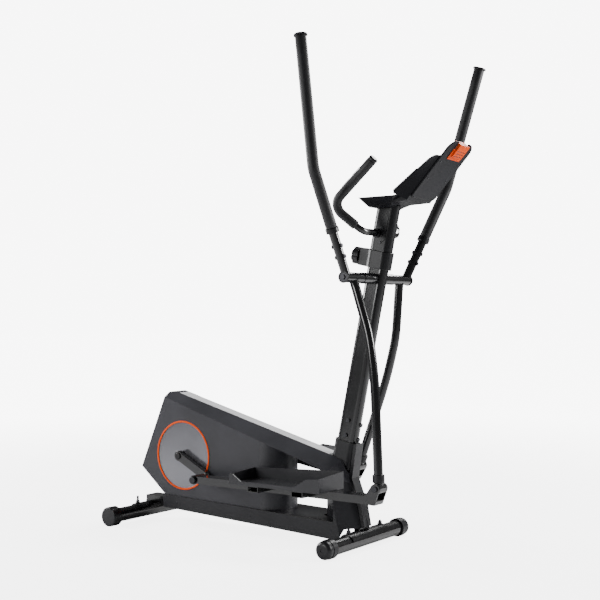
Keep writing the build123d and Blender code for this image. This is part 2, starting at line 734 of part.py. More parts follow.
# ---------------------------------------------------------------- drive
def crank_axle():
    """Shaft through the bearings, from crank to crank."""
    return y_rod(CRANK_X, CRANK_Z, 10, -113, 113)


def crank_bearing(side):
    """Ball bearing in one end of the tower tube."""
    span = sorted((side * 27, side * 39))
    return y_ring(CRANK_X, CRANK_Z, 21, 10.05, *span)


def crank_bar(pin, side):
    """Crank bar from the axle to the pin, with a boss at each end."""
    span = sorted((side * 97, side * 113))
    bar_run = hypot(pin[0] - CRANK_X, pin[1] - CRANK_Z)
    aside = ((pin[1] - CRANK_Z) / bar_run * 15, -(pin[0] - CRANK_X) / bar_run * 15)
    outline = [
        (CRANK_X + aside[0], CRANK_Z + aside[1]), (pin[0] + aside[0], pin[1] + aside[1]),
        (pin[0] - aside[0], pin[1] - aside[1]), (CRANK_X - aside[0], CRANK_Z - aside[1]),
    ]
    bar = side_prism(outline, *span)
    bar += y_rod(CRANK_X, CRANK_Z, 18, *span) + y_rod(pin[0], pin[1], 15, *span)
    boss = sorted((side * 113, side * 118))
    bar += y_rod(pin[0], pin[1], 12, *boss)
    return bar - y_rod(CRANK_X, CRANK_Z, 10, *span)


def hub_cap(side):
    """Domed cap over the axle nut."""
    span = sorted((side * 113, side * 118))
    cap = y_rod(CRANK_X, CRANK_Z, 12.5, *span)
    rims = cap.edges().filter_by(GeomType.CIRCLE).sort_by(Axis.Y)
    return fillet(rims[-1] if side > 0 else rims[0], 3.5)


def crank_pulley():
    """Large belt pulley with hub and web."""
    low, high = BELT_Y - 9, BELT_Y + 9
    rim = y_ring(CRANK_X, CRANK_Z, PULLEY_R, PULLEY_R - 8, low, high)
    web = y_ring(CRANK_X, CRANK_Z, PULLEY_R - 7, 10, BELT_Y - 3, BELT_Y + 3)
    hub = y_ring(CRANK_X, CRANK_Z, 20, 10, low, high)
    return rim + web + hub


def drive_belt():
    """Belt round the pulley and the flywheel's sheave."""
    gap_x, gap_z = FLYWHEEL_X - CRANK_X, FLYWHEEL_Z - CRANK_Z
    run = hypot(gap_x, gap_z)
    lean = degrees(atan2(gap_z, gap_x))
    loops = []
    for thick in (2.6, 0.1):
        big, small = PULLEY_R + thick, SHEAVE_R + thick
        open_angle = degrees(asin((big - small) / run))
        corners = []
        for turn, (centre_x, centre_z), radius in (
            (90 - open_angle, (CRANK_X, CRANK_Z), big), (90 - open_angle, (FLYWHEEL_X, FLYWHEEL_Z), small),
            (open_angle - 90, (FLYWHEEL_X, FLYWHEEL_Z), small), (open_angle - 90, (CRANK_X, CRANK_Z), big),
        ):
            angle = radians(lean + turn)
            corners.append((centre_x + radius * cos(angle), centre_z + radius * sin(angle)))
        band = side_prism(corners, BELT_Y - 7, BELT_Y + 7)
        band += y_rod(CRANK_X, CRANK_Z, big, BELT_Y - 7, BELT_Y + 7)
        band += y_rod(FLYWHEEL_X, FLYWHEEL_Z, small, BELT_Y - 7, BELT_Y + 7)
        loops.append(band)
    return loops[0] - loops[1]


def flywheel():
    """Iron flywheel with a heavy rim."""
    disc = y_ring(FLYWHEEL_X, FLYWHEEL_Z, FLYWHEEL_R, 8, -8, 8)
    for side in (-1, 1):
        span = sorted((side * 4, side * 9))
        disc -= y_ring(FLYWHEEL_X, FLYWHEEL_Z, FLYWHEEL_R - 20, 22, *span)
    return disc


def flywheel_shaft():
    """Shaft of the flywheel, through both bearings, with the small belt wheel at its end."""
    shaft = y_rod(FLYWHEEL_X, FLYWHEEL_Z, 8, -36, BELT_Y + 9)
    return shaft + y_rod(FLYWHEEL_X, FLYWHEEL_Z, SHEAVE_R, BELT_Y - 9, BELT_Y + 9)


def flywheel_bearing(side):
    """Ball bearing in one bracket plate."""
    span = sorted((side * 22, side * 31))
    return y_ring(FLYWHEEL_X, FLYWHEEL_Z, 16, 8.05, *span)


def brake_shoe():
    """Magnet carrier that brackets the flywheel's rim in front."""
    shoe = y_ring(FLYWHEEL_X, FLYWHEEL_Z, FLYWHEEL_R + 9, FLYWHEEL_R + 3, -20, 20)
    sector = side_prism(
        [(FLYWHEEL_X, FLYWHEEL_Z), (FLYWHEEL_X + 200, FLYWHEEL_Z - 150), (FLYWHEEL_X + 200, FLYWHEEL_Z + 40)],
        -30, 30,
    )
    post = block((FLYWHEEL_X + 78, FLYWHEEL_X + 96), (-20, 20), (RAIL_Z[1], FLYWHEEL_Z - 45))
    post -= y_rod(FLYWHEEL_X, FLYWHEEL_Z, FLYWHEEL_R + 3, -40, 40)
    return (shoe & sector) + post


# ---------------------------------------------------------------- swing arms
# Right arm, modelled hanging straight down with the pivot at the origin.
HANDLE_KNEE = (10.0, -309.0, 333.0)
HANDLE_TIP = (28.0, -313.0, 747.0)
HANDLE_ROOT = (0.0, -183.0, 0.0)
GRIP_START_SHARE = 0.46       # where the foam grip starts between root and knee
ARM_TUBE_R = 14.5
HANDLE_TUBE_R = 12.0


def toward_knee(share):
    """Point on the line from the hub to the handle's knee."""
    return tuple(Vector(*HANDLE_ROOT) + (Vector(*HANDLE_KNEE) - Vector(*HANDLE_ROOT)) * share)


def lower_bar(radius):
    """Round bar along the curved centre line from the hub to the foot."""
    points = [(0, -146, -4), (33, -149, -190), (33, -151, -330), (0, -ARM_Y, -SWING_R + 4)]
    path = FilletPolyline(*points, radius=[500, 1400])
    start = Plane(origin=path @ 0, z_dir=path % 0)
    return sweep(start * Circle(radius), path=path)


def swing_arm():
    """Hub, curved lower tube with the foot bush, and the socket for the handle."""
    low, high = HUB_SPAN
    lower = lower_bar(ARM_TUBE_R) - lower_bar(ARM_TUBE_R - WALL)
    upper = rod_between(HANDLE_ROOT, toward_knee(GRIP_START_SHARE - 0.02), ARM_TUBE_R)
    foot = y_rod(0, -SWING_R, 17, -ARM_Y - 21, -ARM_Y + 21)
    arm = y_rod(0, 0, HUB_R, -high, -low) + lower + upper + foot
    arm -= rod_between(toward_knee(0.09), toward_knee(0.6), HANDLE_TUBE_R)
    arm -= y_rod(0, 0, HUB_R - 2.4, -high - 5, -low + 5)
    for bolt in arm_bolts():
        arm -= bolt
    return arm - y_rod(0, -SWING_R, 6.05, -ARM_Y - 40, -ARM_Y + 40)


def hub_bushes():
    """Two plain bushes between hub and shaft."""
    low, high = HUB_SPAN
    bushes = []
    for span in ((-high, -high + 18), (-low - 18, -low)):
        bushes.append(y_ring(0, 0, HUB_R - 2.4, PIVOT_SHAFT_R + 0.05, *span))
    return bushes


def hub_end_ring():
    """Plastic ring on the outer end of the hub, round the recessed bolt."""
    outer = -HUB_SPAN[1]
    return y_ring(0, 0, 18.5, 14.5, outer - 4, outer) - rod_between(HANDLE_ROOT, HANDLE_KNEE, ARM_TUBE_R)


def handle_path(start):
    """Centre line of the handle from a start point over the knee to the tip."""
    return [start, HANDLE_KNEE, HANDLE_TIP]


def handle_tube():
    """Bent steel tube that plugs into the swing arm."""
    points = handle_path(toward_knee(0.1))
    tube = bent_rod(points, HANDLE_TUBE_R, 90) - bent_rod(points, HANDLE_TUBE_R - 2, 90)
    for bolt in arm_bolts():
        tube -= bolt
    return tube


def handle_grip():
    """Long foam grip over the handle tube."""
    points = handle_path(toward_knee(GRIP_START_SHARE))
    return bent_rod(points, 18.3, 90) - bent_rod(points, HANDLE_TUBE_R, 90)


def grip_tip_cap():
    """Flanged cap on top of the grip."""
    tip = Vector(*HANDLE_TIP)
    out = (tip - Vector(*HANDLE_KNEE)).normalized()
    cap = rod_between(HANDLE_TIP, tuple(tip + out * 8), 22)
    return fillet(cap.edges().filter_by(GeomType.CIRCLE).sort_by(Axis.Z)[-1], 5)


def grip_foot_ring():
    """Flanged ring at the lower end of the grip."""
    start, end = toward_knee(GRIP_START_SHARE - 0.045), toward_knee(GRIP_START_SHARE)
    return rod_between(start, end, 21) - rod_between(start, end, ARM_TUBE_R)


def arm_bolts():
    """Two through bolts that lock the handle in the swing arm."""
    bolts = []
    for share in (0.19, 0.29):
        x, y, z = toward_knee(share)
        shank = Pos(x, y, z) * Rot(0, 90, 0) * Cylinder(3.5, 2 * ARM_TUBE_R + 2)
        for side in (-1, 1):
            shank += Pos(x + side * (ARM_TUBE_R + 2), y, z) * Rot(0, 90, 0) * Cylinder(6.5, 4)
        bolts.append(shank)
    return bolts


def foot_boot():
    """Dark collar round the lower end of the swing tube."""
    low = (1.5, -ARM_Y, -SWING_R + 17.5)
    high = (4.2, -ARM_Y + 0.3, -SWING_R + 42)
    return rod_between(low, high, 19) - lower_bar(ARM_TUBE_R)


# ---------------------------------------------------------------- pedal arms
# Right pedal arm in its place at rest, where its tube is level.
TUBE_TOP = RIGHT_PIN[1] + 12.5
PEDAL_SPAN = (88.0, 448.0)
PEDAL_Y = (-241.0, -100.0)
PLATE = 4.5                   # clevis plate


def pedal_arm():
    """Level tube with a bearing end for the crank pin and a clevis for the foot pin."""
    pin_x, pin_z = RIGHT_PIN
    foot_x, foot_z = RIGHT_FOOT
    bar = block((pin_x + 6, foot_x - 34), (-ARM_Y - 25, -ARM_Y + 25), (TUBE_TOP - 25, TUBE_TOP))
    bar -= block((pin_x + 9, foot_x - 40), (-ARM_Y - 22.5, -ARM_Y + 22.5), (TUBE_TOP - 22.5, TUBE_TOP - 2.5))
    bearing = y_rod(pin_x, pin_z, 16, -ARM_Y - 26, -ARM_Y + 26)
    arm = bar + bearing
    outline = [
        (foot_x - 50, TUBE_TOP - 25), (foot_x - 2, TUBE_TOP - 27), (foot_x + 15, foot_z - 6),
        (foot_x - 13, foot_z + 9), (foot_x - 36, TUBE_TOP),
    ]
    for inner, outer in ((-ARM_Y - 26, -ARM_Y - 26 + PLATE), (-ARM_Y + 26 - PLATE, -ARM_Y + 26)):
        arm += side_prism(outline, inner, outer) + y_rod(foot_x, foot_z, 16, inner, outer)
    web = [
        (foot_x - 50, TUBE_TOP - 25), (foot_x - 2, TUBE_TOP - 27), (foot_x + 4, TUBE_TOP - 14),
        (foot_x - 30, TUBE_TOP - 14), (foot_x - 50, TUBE_TOP - 14),
    ]
    arm += side_prism(web, -ARM_Y - 24, -ARM_Y + 24)
    for stub in pedal_brackets():
        arm += stub
    arm -= y_rod(foot_x, foot_z, 6, -300, 0)
    return arm - y_rod(pin_x, pin_z, 8, -300, 0)


def crank_pin():
    """Pin in the bearing end; its inner end stops just outside the crank's boss."""
    return y_rod(RIGHT_PIN[0], RIGHT_PIN[1], 8, -ARM_Y - 27, -118.6)


def pin_cap():
    """Domed cap over the outer end of the crank pin."""
    outer = -ARM_Y - 35
    cap = y_rod(RIGHT_PIN[0], RIGHT_PIN[1], 13.5, outer, -ARM_Y - 27)
    return fillet(cap.edges().filter_by(GeomType.CIRCLE).sort_by(Axis.Y)[0], 4)


def foot_pin():
    """Pin through clevis and foot bush, with a domed head each side."""
    foot_x, foot_z = RIGHT_FOOT
    pin = y_rod(foot_x, foot_z, 6, -ARM_Y - 27, -ARM_Y + 27)
    pin += y_rod(foot_x, foot_z, 9.5, -ARM_Y - 31, -ARM_Y - 26)
    return pin + y_rod(foot_x, foot_z, 9.5, -ARM_Y + 26, -ARM_Y + 31)


def pedal():
    """Foot tray: ribbed floor, high inner and front walls, low outer rim."""
    low, high = PEDAL_SPAN
    outer, inner = PEDAL_Y
    floor_z = TUBE_TOP + 0.5
    tray = block((low, high), (outer, inner), (floor_z, floor_z + 5))
    wall = [(low, floor_z), (high, floor_z), (high, floor_z + 56), (low, floor_z + 40)]
    tray += side_prism(wall, inner - 4, inner)
    rim = [
        (low, floor_z), (high, floor_z), (high, floor_z + 46), (low + 309, floor_z + 41),
        (low + 262, floor_z + 12), (low + 49, floor_z + 12), (low + 14, floor_z + 34), (low, floor_z + 34),
    ]
    tray += side_prism(rim, outer, outer + 4)
    for x_span, rise in (((low, low + 4), (34, 40)), ((high - 4, high), (46, 56))):
        corners = [(outer, floor_z), (inner, floor_z), (inner, floor_z + rise[1]), (outer, floor_z + rise[0])]
        wire = Polyline(*[(x_span[0], y, z) for y, z in corners], close=True)
        tray += extrude(make_face(wire), amount=4, dir=(1, 0, 0))
    rib_count = 9
    for index in range(rib_count):
        y = outer + 16 + index * (inner - outer - 32) / (rib_count - 1)
        tray += block((low + 40, high - 40), (y - 2, y + 2), (floor_z + 4, floor_z + 7))
    return tray


def pedal_brackets():
    """Channel stubs welded on both sides of the tube under the tray."""
    stubs = []
    for x in (183.0, 360.0):
        for y_span in ((-237, -ARM_Y - 25), (-ARM_Y + 25, -104)):
            stub = block((x - 22, x + 22), y_span, (TUBE_TOP - 19, TUBE_TOP + 0.5))
            through = (y_span[0] - 1, y_span[1] + 1)
            hollow = block((x - 19.5, x + 19.5), through, (TUBE_TOP - 16.5, TUBE_TOP - 2))
            stubs.append(stub - hollow)
    return stubs


# ---------------------------------------------------------------- placing
def place_swing(shape, side):
    """Swing a right-hand shape to its rest angle; side -1 is right, 1 is left."""
    if side > 0:
        shape = mirrored(shape)
    angle = swing_angle(RIGHT_FOOT if side < 0 else LEFT_FOOT)
    return Pos(PIVOT_X, 0, PIVOT_Z) * Rot(0, -angle, 0) * shape


def place_pedal(shape, side):
    """Keep a right-hand shape where it is, or carry its mirror to the left side's rest place."""
    if side < 0:
        return shape
    turn = pedal_angle(LEFT_PIN, LEFT_FOOT) - pedal_angle(RIGHT_PIN, RIGHT_FOOT)
    to_origin = Pos(-RIGHT_FOOT[0], 0, -RIGHT_FOOT[1]) * mirrored(shape)
    return Pos(LEFT_FOOT[0], 0, LEFT_FOOT[1]) * Rot(0, -turn, 0) * to_origin


def save_sides(name, shapes, place):
    """Write the right and left nodes of a piece, each in its rest place."""
    for side, word in ((-1, "right"), (1, "left")):
        save(f"{name}_{word}", *[place(shape, side) for shape in shapes])


# base
save("front_stabiliser", stabiliser_tube(STABILISER_X, FRONT_AXIS_Z, STABILISER_LENGTH / 2 - 30))
save("rear_stabiliser", stabiliser_tube(-STABILISER_X, REAR_AXIS_Z, STABILISER_LENGTH / 2 - 4))
save("saddles", saddle(STABILISER_X, FRONT_AXIS_Z), saddle(-STABILISER_X, REAR_AXIS_Z))
front_bolts = saddle_bolts(STABILISER_X, FRONT_AXIS_Z, 14)
rear_bolts = saddle_bolts(-STABILISER_X, REAR_AXIS_Z, 26)
save("frame_bolts", *front_bolts, *rear_bolts, *mast_bolts(), hub_washer(), mirrored(hub_washer()))
save("stabiliser_caps", front_sleeve(), mirrored(front_sleeve()), rear_cap(), mirrored(rear_cap()))
save_pair("transport_roller", transport_roller())
save("main_frame", main_frame())

# mast
save("mast", mast())
save("clamp_collar", clamp_collar())
save("clamp_knob", clamp_knob())

# sliding column and console
save("column_tube", column_tube() - handlebar_blank())
save("column_cover", column_cover())
save("column_screws", *cover_screws(), *console_screws())
save("handlebar", handlebar_blank())
save("handlebar_grips", handlebar_grip(), mirrored(handlebar_grip()))
bar_ends = [handlebar_cap(), handlebar_collar()]
save("handlebar_caps", *bar_ends, *[mirrored(end) for end in bar_ends])
save("pulse_plates", *pulse_plates(), *[mirrored(plate) for plate in pulse_plates()])
save("console_base", console_base())
save("console_face", console_face())
save("display_panel", display_panel())
save("display_window", display_window())
save("holder_plate", holder_plate())
save("tablet_clip", tablet_clip())

# casing
save_pair("casing", casing())
save_pair("lower_cover", lower_cover())
save("top_strip", top_strip())
save("crank_covers", crank_cover(), mirrored(crank_cover()))
save("accent_rings", accent_ring(), mirrored(accent_ring()))
save("mast_collar", mast_collar())
save("casing_screws", *cover_side_screws(), *[mirrored(screw) for screw in cover_side_screws()])

# drive
save("crank_axle", crank_axle())
save("bearings", crank_bearing(-1), crank_bearing(1), flywheel_bearing(-1), flywheel_bearing(1))
save("cranks", crank_bar(RIGHT_PIN, -1), crank_bar(LEFT_PIN, 1))
save("hub_caps", hub_cap(-1), hub_cap(1))
save("crank_pulley", crank_pulley())
save("drive_belt", drive_belt())
save("flywheel", flywheel())
save("flywheel_shaft", flywheel_shaft())
save("brake_shoe", brake_shoe())

# linkage
save_sides("swing_arm", [swing_arm()], place_swing)
save_sides("hub_fittings", [*hub_bushes(), hub_end_ring()], place_swing)
save_sides("handle_tube", [handle_tube()], place_swing)
save_sides("handle_grip", [handle_grip()], place_swing)
save_sides("handle_trim", [grip_tip_cap(), grip_foot_ring(), foot_boot()], place_swing)
save_sides("arm_bolts", arm_bolts(), place_swing)
save_sides("pedal_arm", [pedal_arm()], place_pedal)
save_sides("pedal", [pedal()], place_pedal)
save_sides("arm_pins", [crank_pin(), pin_cap(), foot_pin()], place_pedal)
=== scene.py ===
import json
from math import cos, radians, sin, tan

import bpy
from mathutils import Matrix, Vector


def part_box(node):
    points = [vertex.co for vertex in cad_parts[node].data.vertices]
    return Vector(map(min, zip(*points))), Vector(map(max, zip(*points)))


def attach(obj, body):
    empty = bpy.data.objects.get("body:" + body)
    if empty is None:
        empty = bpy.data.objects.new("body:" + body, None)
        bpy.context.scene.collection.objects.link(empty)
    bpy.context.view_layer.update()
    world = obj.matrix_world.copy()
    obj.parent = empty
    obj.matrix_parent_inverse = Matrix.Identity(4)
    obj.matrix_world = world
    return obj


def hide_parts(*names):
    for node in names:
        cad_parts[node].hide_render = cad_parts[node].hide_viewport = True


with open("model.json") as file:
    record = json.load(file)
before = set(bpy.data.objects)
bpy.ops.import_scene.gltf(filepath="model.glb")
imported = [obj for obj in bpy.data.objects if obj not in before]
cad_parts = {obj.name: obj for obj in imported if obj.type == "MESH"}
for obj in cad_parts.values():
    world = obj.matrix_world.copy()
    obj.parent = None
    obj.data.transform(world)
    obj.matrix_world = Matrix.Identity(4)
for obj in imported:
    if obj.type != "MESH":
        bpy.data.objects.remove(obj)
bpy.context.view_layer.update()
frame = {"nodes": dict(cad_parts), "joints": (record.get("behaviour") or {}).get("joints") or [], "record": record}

# ---------------------------------------------------------------- dimensions, in metres
MAST_TILT = radians(11.7)
HANDLE_ROOT = Vector((0.0, -0.183, 0.0))      # right handle, in its arm hanging straight down
HANDLE_KNEE = Vector((0.010, -0.309, 0.333))
HANDLE_TIP = Vector((0.028, -0.313, 0.747))
GRIP_SHARE = 0.46                             # where the long grip starts between root and knee
HANDLE_BEND = 0.090
HANDLE_GRIP_R = 0.0183
REST_SWING = {"right": radians(-8.669), "left": radians(14.641)}
BAR_Z = 1.027                                 # fixed handlebar where it crosses the column
BAR_CORNER_Y = -0.110
BAR_TO_KNEE = Vector((-0.072, -0.068, 0.081))
BAR_TO_TIP = Vector((0.079, -0.068, 0.213))
BAR_GRIP_SHARE = 0.22                         # where its grip starts between corner and knee
BAR_GRIP_R = 0.015
BAR_BEND = 0.042
RIM = 0.002                                   # rounding of a grip's ends
CONSOLE_TILT = radians(47.6)
# painted shade of the tablet clip's finger grooves, laid on as black bars: places, size and rounding
GROOVE_SHADE_PLACES = (0.1895, 0.1985, 0.2075)       # along the console's back
CLIP_BACK = -0.0140
GROOVE_SHADE_SIZE = (0.0022, 0.050, 0.0008)
GROOVE_SHADE_ROUNDING = 0.0003
WALL_GLOW = 8.0                               # brightness of the white walls where they are seen
WALL_LIGHT = 0.13                             # how strongly the walls light the machine
FLOOR_GLOW = 4.4                              # brightness of the floor round the machine
FLOOR_FADE = (1.2, 5.0)                       # distances over which the floor turns into the walls


def joint(name):
    """One joint of the frame."""
    return next(item for item in frame["joints"] if item["name"] == name)


def middle_x(name):
    """Middle of a node along the machine."""
    low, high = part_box(name)
    return (low.x + high.x) / 2


PIVOT = Vector(joint("right_swing")["pos_m"])
BAR_CENTRE_X = PIVOT.x - 0.003 + (BAR_Z - PIVOT.z) * tan(MAST_TILT) - 0.015
BASE_X = (middle_x("front_stabiliser") + middle_x("rear_stabiliser")) / 2   # middle of the feet
CONSOLE_FOOT = Vector((BASE_X + 0.668, 0, 1.122))
CAMERA_PLACE = (BASE_X + 2.3192, -2.9818, 0.7605)
CAMERA_TURN = (radians(90.815), 0, radians(35.34))
CAMERA_LENS = 63.85


# ---------------------------------------------------------------- shader helpers
def new_material(name, colour, roughness, metallic=0.0):
    """A principled material and its node tree."""
    material = bpy.data.materials.new(name)
    material.use_nodes = True
    shader = material.node_tree.nodes["Principled BSDF"]
    shader.inputs["Base Color"].default_value = (*colour, 1)
    shader.inputs["Roughness"].default_value = roughness
    shader.inputs["Metallic"].default_value = metallic
    return material, shader


def add_node(material, kind, **values):
    """Add a shader node and set its input values by name."""
    node = material.node_tree.nodes.new(kind)
    for name, value in values.items():
        node.inputs[name.replace("_", " ")].default_value = value
    return node


def link(material, source, output, target, socket):
    material.node_tree.links.new(source.outputs[output], target.inputs[socket])


def object_noise(material, scale, detail=3.0, stretch=(1, 1, 1)):
    """Noise on the object's own coordinates."""
    place = material.node_tree.nodes.new("ShaderNodeTexCoord")
    mapping = add_node(material, "ShaderNodeMapping")
    mapping.inputs["Scale"].default_value = stretch
    noise = add_node(material, "ShaderNodeTexNoise", Scale=scale, Detail=detail)
    link(material, place, "Object", mapping, "Vector")
    link(material, mapping, "Vector", noise, "Vector")
    return noise


def vary_colour(material, shader, noise, dark, light):
    """Blend two near colours by a noise."""
    ramp = material.node_tree.nodes.new("ShaderNodeValToRGB")
    ramp.color_ramp.elements[0].position = 0.35
    ramp.color_ramp.elements[1].position = 0.65
    ramp.color_ramp.elements[0].color = (*dark, 1)
    ramp.color_ramp.elements[1].color = (*light, 1)
    link(material, noise, "Fac", ramp, "Fac")
    link(material, ramp, "Color", shader, "Base Color")


def vary_roughness(material, shader, noise, low, high):
    """Let the roughness wander between two values."""
    spread = add_node(material, "ShaderNodeMapRange", To_Min=low, To_Max=high)
    link(material, noise, "Fac", spread, "Value")
    link(material, spread, "Result", shader, "Roughness")


def add_bump(material, shader, texture, output, strength, distance):
    """Raise the surface by a texture."""
    bump = add_node(material, "ShaderNodeBump", Strength=strength, Distance=distance)
    link(material, texture, output, bump, "Height")
    link(material, bump, "Normal", shader, "Normal")


def shade(colour, factor):
    """A colour made darker or lighter."""
    return tuple(min(channel * factor, 1.0) for channel in colour)


# ---------------------------------------------------------------- materials
def moulded_plastic(name, colour, roughness, grain=2600, depth=0.00006):
    """Plastic from a spark-eroded mould: fine even grain and a faint cloudiness."""
    material, shader = new_material(name, colour, roughness)
    cloud = object_noise(material, 9)
    vary_colour(material, shader, cloud, shade(colour, 0.88), shade(colour, 1.14))
    vary_roughness(material, shader, cloud, roughness - 0.05, roughness + 0.06)
    add_bump(material, shader, object_noise(material, grain, 2), "Fac", 0.35, depth)
    return material


def powder_coat(name, colour, roughness):
    """Glossy powder coat on steel with a little orange peel."""
    material, shader = new_material(name, colour, roughness)
    shader.inputs["Coat Weight"].default_value = 0.6
    shader.inputs["Coat Roughness"].default_value = 0.12
    cloud = object_noise(material, 14)
    vary_roughness(material, shader, cloud, roughness - 0.05, roughness + 0.07)
    add_bump(material, shader, object_noise(material, 420, 2), "Fac", 0.12, 0.0002)
    return material


def foam_skin(name, colour):
    """Closed-cell foam rubber: small pits and a soft sheen."""
    material, shader = new_material(name, colour, 0.50)
    shader.inputs["Sheen Weight"].default_value = 0.25
    shader.inputs["Sheen Roughness"].default_value = 0.5
    cells = material.node_tree.nodes.new("ShaderNodeTexVoronoi")
    cells.inputs["Scale"].default_value = 900
    place = material.node_tree.nodes.new("ShaderNodeTexCoord")
    link(material, place, "Object", cells, "Vector")
    vary_colour(material, shader, object_noise(material, 60, 4), shade(colour, 0.8), shade(colour, 1.25))
    add_bump(material, shader, cells, "Distance", 0.3, 0.0002)
    return material


def brushed_metal(name, colour, roughness, stretch):
    """Metal with fine brush lines along one direction."""
    material, shader = new_material(name, colour, roughness, 1.0)
    lines = object_noise(material, 300, 3, stretch)
    vary_roughness(material, shader, lines, roughness - 0.08, roughness + 0.12)
    add_bump(material, shader, lines, "Fac", 0.1, 0.0001)
    return material


def cast_metal(name, colour):
    """Cast iron with a rough skin."""
    material, shader = new_material(name, colour, 0.55, 0.9)
    skin = object_noise(material, 180, 6)
    vary_colour(material, shader, skin, shade(colour, 0.7), shade(colour, 1.3))
    add_bump(material, shader, skin, "Fac", 0.4, 0.0006)
    return material


def gloss_plastic(name, colour, roughness):
    """Polished plastic with a clear top."""
    material, shader = new_material(name, colour, roughness)
    shader.inputs["Coat Weight"].default_value = 0.5
    shader.inputs["Coat Roughness"].default_value = 0.05
    cloud = object_noise(material, 6)
    vary_colour(material, shader, cloud, shade(colour, 0.95), shade(colour, 1.05))
    vary_roughness(material, shader, cloud, roughness, roughness + 0.05)
    return material


def satin_plastic(name, colour, roughness):
    """Deep-coloured plastic with little shine."""
    material = moulded_plastic(name, colour, roughness)
    material.node_tree.nodes["Principled BSDF"].inputs["Specular IOR Level"].default_value = 0.15
    return material


def mirror_plastic(name, colour, roughness):
    """Smoked plastic with a metallised back."""
    material, shader = new_material(name, colour, roughness, 0.75)
    shader.inputs["Coat Weight"].default_value = 0.4
    shader.inputs["Coat Roughness"].default_value = 0.08
    cloud = object_noise(material, 5)
    vary_colour(material, shader, cloud, shade(colour, 0.9), shade(colour, 1.1))
    vary_roughness(material, shader, cloud, roughness - 0.03, roughness + 0.05)
    return material


def clear_window(name, colour):
    """Dark clear window over the display."""
    material, shader = new_material(name, colour, 0.08)
    shader.inputs["Coat Weight"].default_value = 1.0
    shader.inputs["Coat Roughness"].default_value = 0.02
    vary_roughness(material, shader, object_noise(material, 12), 0.05, 0.12)
    return material


FINISHES = {
    "gloss_black_steel": powder_coat("black_powder_coat", (0.003, 0.003, 0.004), 0.22),
    "dark_bolt": brushed_metal("black_oxide", (0.06, 0.06, 0.065), 0.35, (1, 1, 1)),
    "black_plastic": moulded_plastic("black_plastic", (0.006, 0.006, 0.008), 0.36),
    "charcoal_plastic": moulded_plastic("charcoal_plastic", (0.034, 0.034, 0.041), 0.40),
    "dark_plastic": moulded_plastic("dark_plastic", (0.012, 0.012, 0.015), 0.36),
    "pedal_plastic": moulded_plastic("pedal_plastic", (0.024, 0.024, 0.028), 0.42, 900, 0.0002),
    "roller_plastic": moulded_plastic("roller_plastic", (0.008, 0.008, 0.010), 0.34),
    "pale_plastic": gloss_plastic("pale_plastic", (0.92, 0.92, 0.94), 0.30),
    "orange_plastic": satin_plastic("orange_plastic", (0.95, 0.085, 0.0), 0.5),
    "disc_plastic": mirror_plastic("disc_plastic", (0.22, 0.22, 0.24), 0.24),
    "grip_foam": foam_skin("grip_foam", (0.007, 0.007, 0.009)),
    "sensor_steel": brushed_metal("sensor_steel", (0.92, 0.92, 0.94), 0.36, (1, 20, 1)),
    "display_glass": clear_window("display_glass", (0.03, 0.035, 0.035)),
    "bright_steel": brushed_metal("bright_steel", (0.55, 0.55, 0.57), 0.25, (1, 12, 1)),
    "pulley_plastic": moulded_plastic("pulley_plastic", (0.015, 0.015, 0.015), 0.5),
    "cast_iron": cast_metal("cast_iron", (0.12, 0.12, 0.12)),
    "belt_rubber": moulded_plastic("belt_rubber", (0.010, 0.010, 0.010), 0.7, 1500),
}


CONSOLE_PLASTIC = satin_plastic("console_plastic", (0.010, 0.010, 0.013), 0.42)
CONSOLE_SHELLS = ("console_base", "console_face", "holder_plate")


def dress_nodes():
    """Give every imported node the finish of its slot; the console's shells are a darker moulding."""
    for part in frame["record"]["subparts"]:
        name = part["node"]
        finish = CONSOLE_PLASTIC if name in CONSOLE_SHELLS else FINISHES[part["material_slot"]]
        for place in frame["nodes"][name].material_slots:
            place.material = finish


# ---------------------------------------------------------------- softened edges
SOFT_EDGES = {
    0.0070: ["casing_right", "casing_left", "lower_cover_right", "lower_cover_left"],
    0.0045: ["console_base", "holder_plate"],
    0.0030: ["console_face", "clamp_collar", "mast_collar"],
    0.0018: ["display_panel", "pedal_right", "pedal_left", "tablet_clip"],
    0.0012: ["top_strip", "clamp_knob", "cranks", "hub_caps", "saddles", "column_cover",
             "handle_trim_right", "handle_trim_left", "handlebar_caps"],
    0.0008: ["frame_bolts", "arm_bolts_right", "arm_bolts_left", "arm_pins_right",
             "arm_pins_left", "casing_screws", "column_screws", "pulse_plates",
             "pedal_arm_right", "pedal_arm_left", "accent_rings"],
}


def body_of(name):
    """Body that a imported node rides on."""
    bodies = frame["record"]["behaviour"]["bodies"]
    return next(body for body, nodes in bodies.items() if name in nodes)


def apply_modifier(piece, kind, **settings):
    """Add a modifier, set it and apply it."""
    modifier = piece.modifiers.new(kind.lower(), kind)
    for setting, value in settings.items():
        setattr(modifier, setting, value)
    bpy.ops.object.modifier_apply(modifier=modifier.name)


def softened(name, width):
    """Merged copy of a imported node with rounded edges, which stands for that node."""
    bpy.ops.object.select_all(action="DESELECT")
    piece = bpy.data.objects.new(f"soft_{name}", frame["nodes"][name].data.copy())
    bpy.context.scene.collection.objects.link(piece)
    piece.select_set(True)
    bpy.context.view_layer.objects.active = piece
    bpy.ops.object.mode_set(mode="EDIT")
    bpy.ops.mesh.select_all(action="SELECT")
    bpy.ops.mesh.remove_doubles(threshold=0.00001)
    bpy.ops.mesh.dissolve_limited(angle_limit=radians(0.6))
    bpy.ops.object.mode_set(mode="OBJECT")
    apply_modifier(piece, "BEVEL", width=width, segments=3, limit_method="ANGLE",
                   angle_limit=radians(28), use_clamp_overlap=True, miter_outer="MITER_ARC")
    bpy.ops.object.shade_smooth_by_angle(angle=radians(32))
    apply_modifier(piece, "WEIGHTED_NORMAL", keep_sharp=True)
    piece.select_set(False)
    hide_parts(name)
    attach(piece, body_of(name))


def soften_all():
    """Round the edges of every moulded, cast or turned piece."""
    for width, names in SOFT_EDGES.items():
        for name in names:
            softened(name, width)


